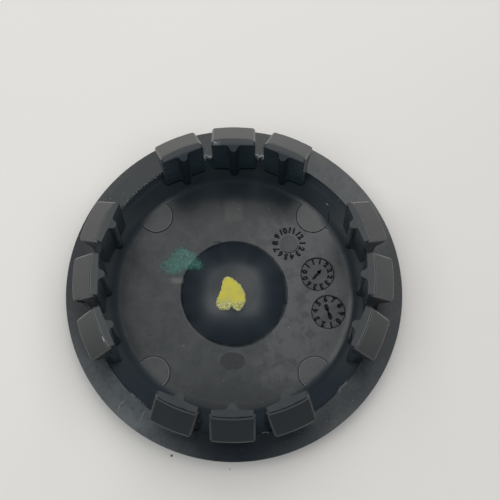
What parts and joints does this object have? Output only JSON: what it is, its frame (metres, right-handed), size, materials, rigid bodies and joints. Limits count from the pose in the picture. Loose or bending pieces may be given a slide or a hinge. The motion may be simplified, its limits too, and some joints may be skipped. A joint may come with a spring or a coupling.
{
  "type": "wheel centre cap",
  "caption": "Round snap-in wheel centre cap: a plain face disc with a dished back and a ring of barbed, ribbed spring fingers in groups.",
  "frame": {"origin": "centre of the plain front face, which lies on the XY plane", "axes": "+Z along the cap's axis, from the front face towards the finger tips; +X and +Y each run through the middle of a group of fingers"},
  "size_m": [0.06, 0.06, 0.0202],
  "materials": {
    "moulding": "dark grey moulded plastic, finely textured on the flats and smoother on the slopes"
  },
  "bodies": {
    "root": {"centre_cap": "moulding"}
  },
  "joints": []
}
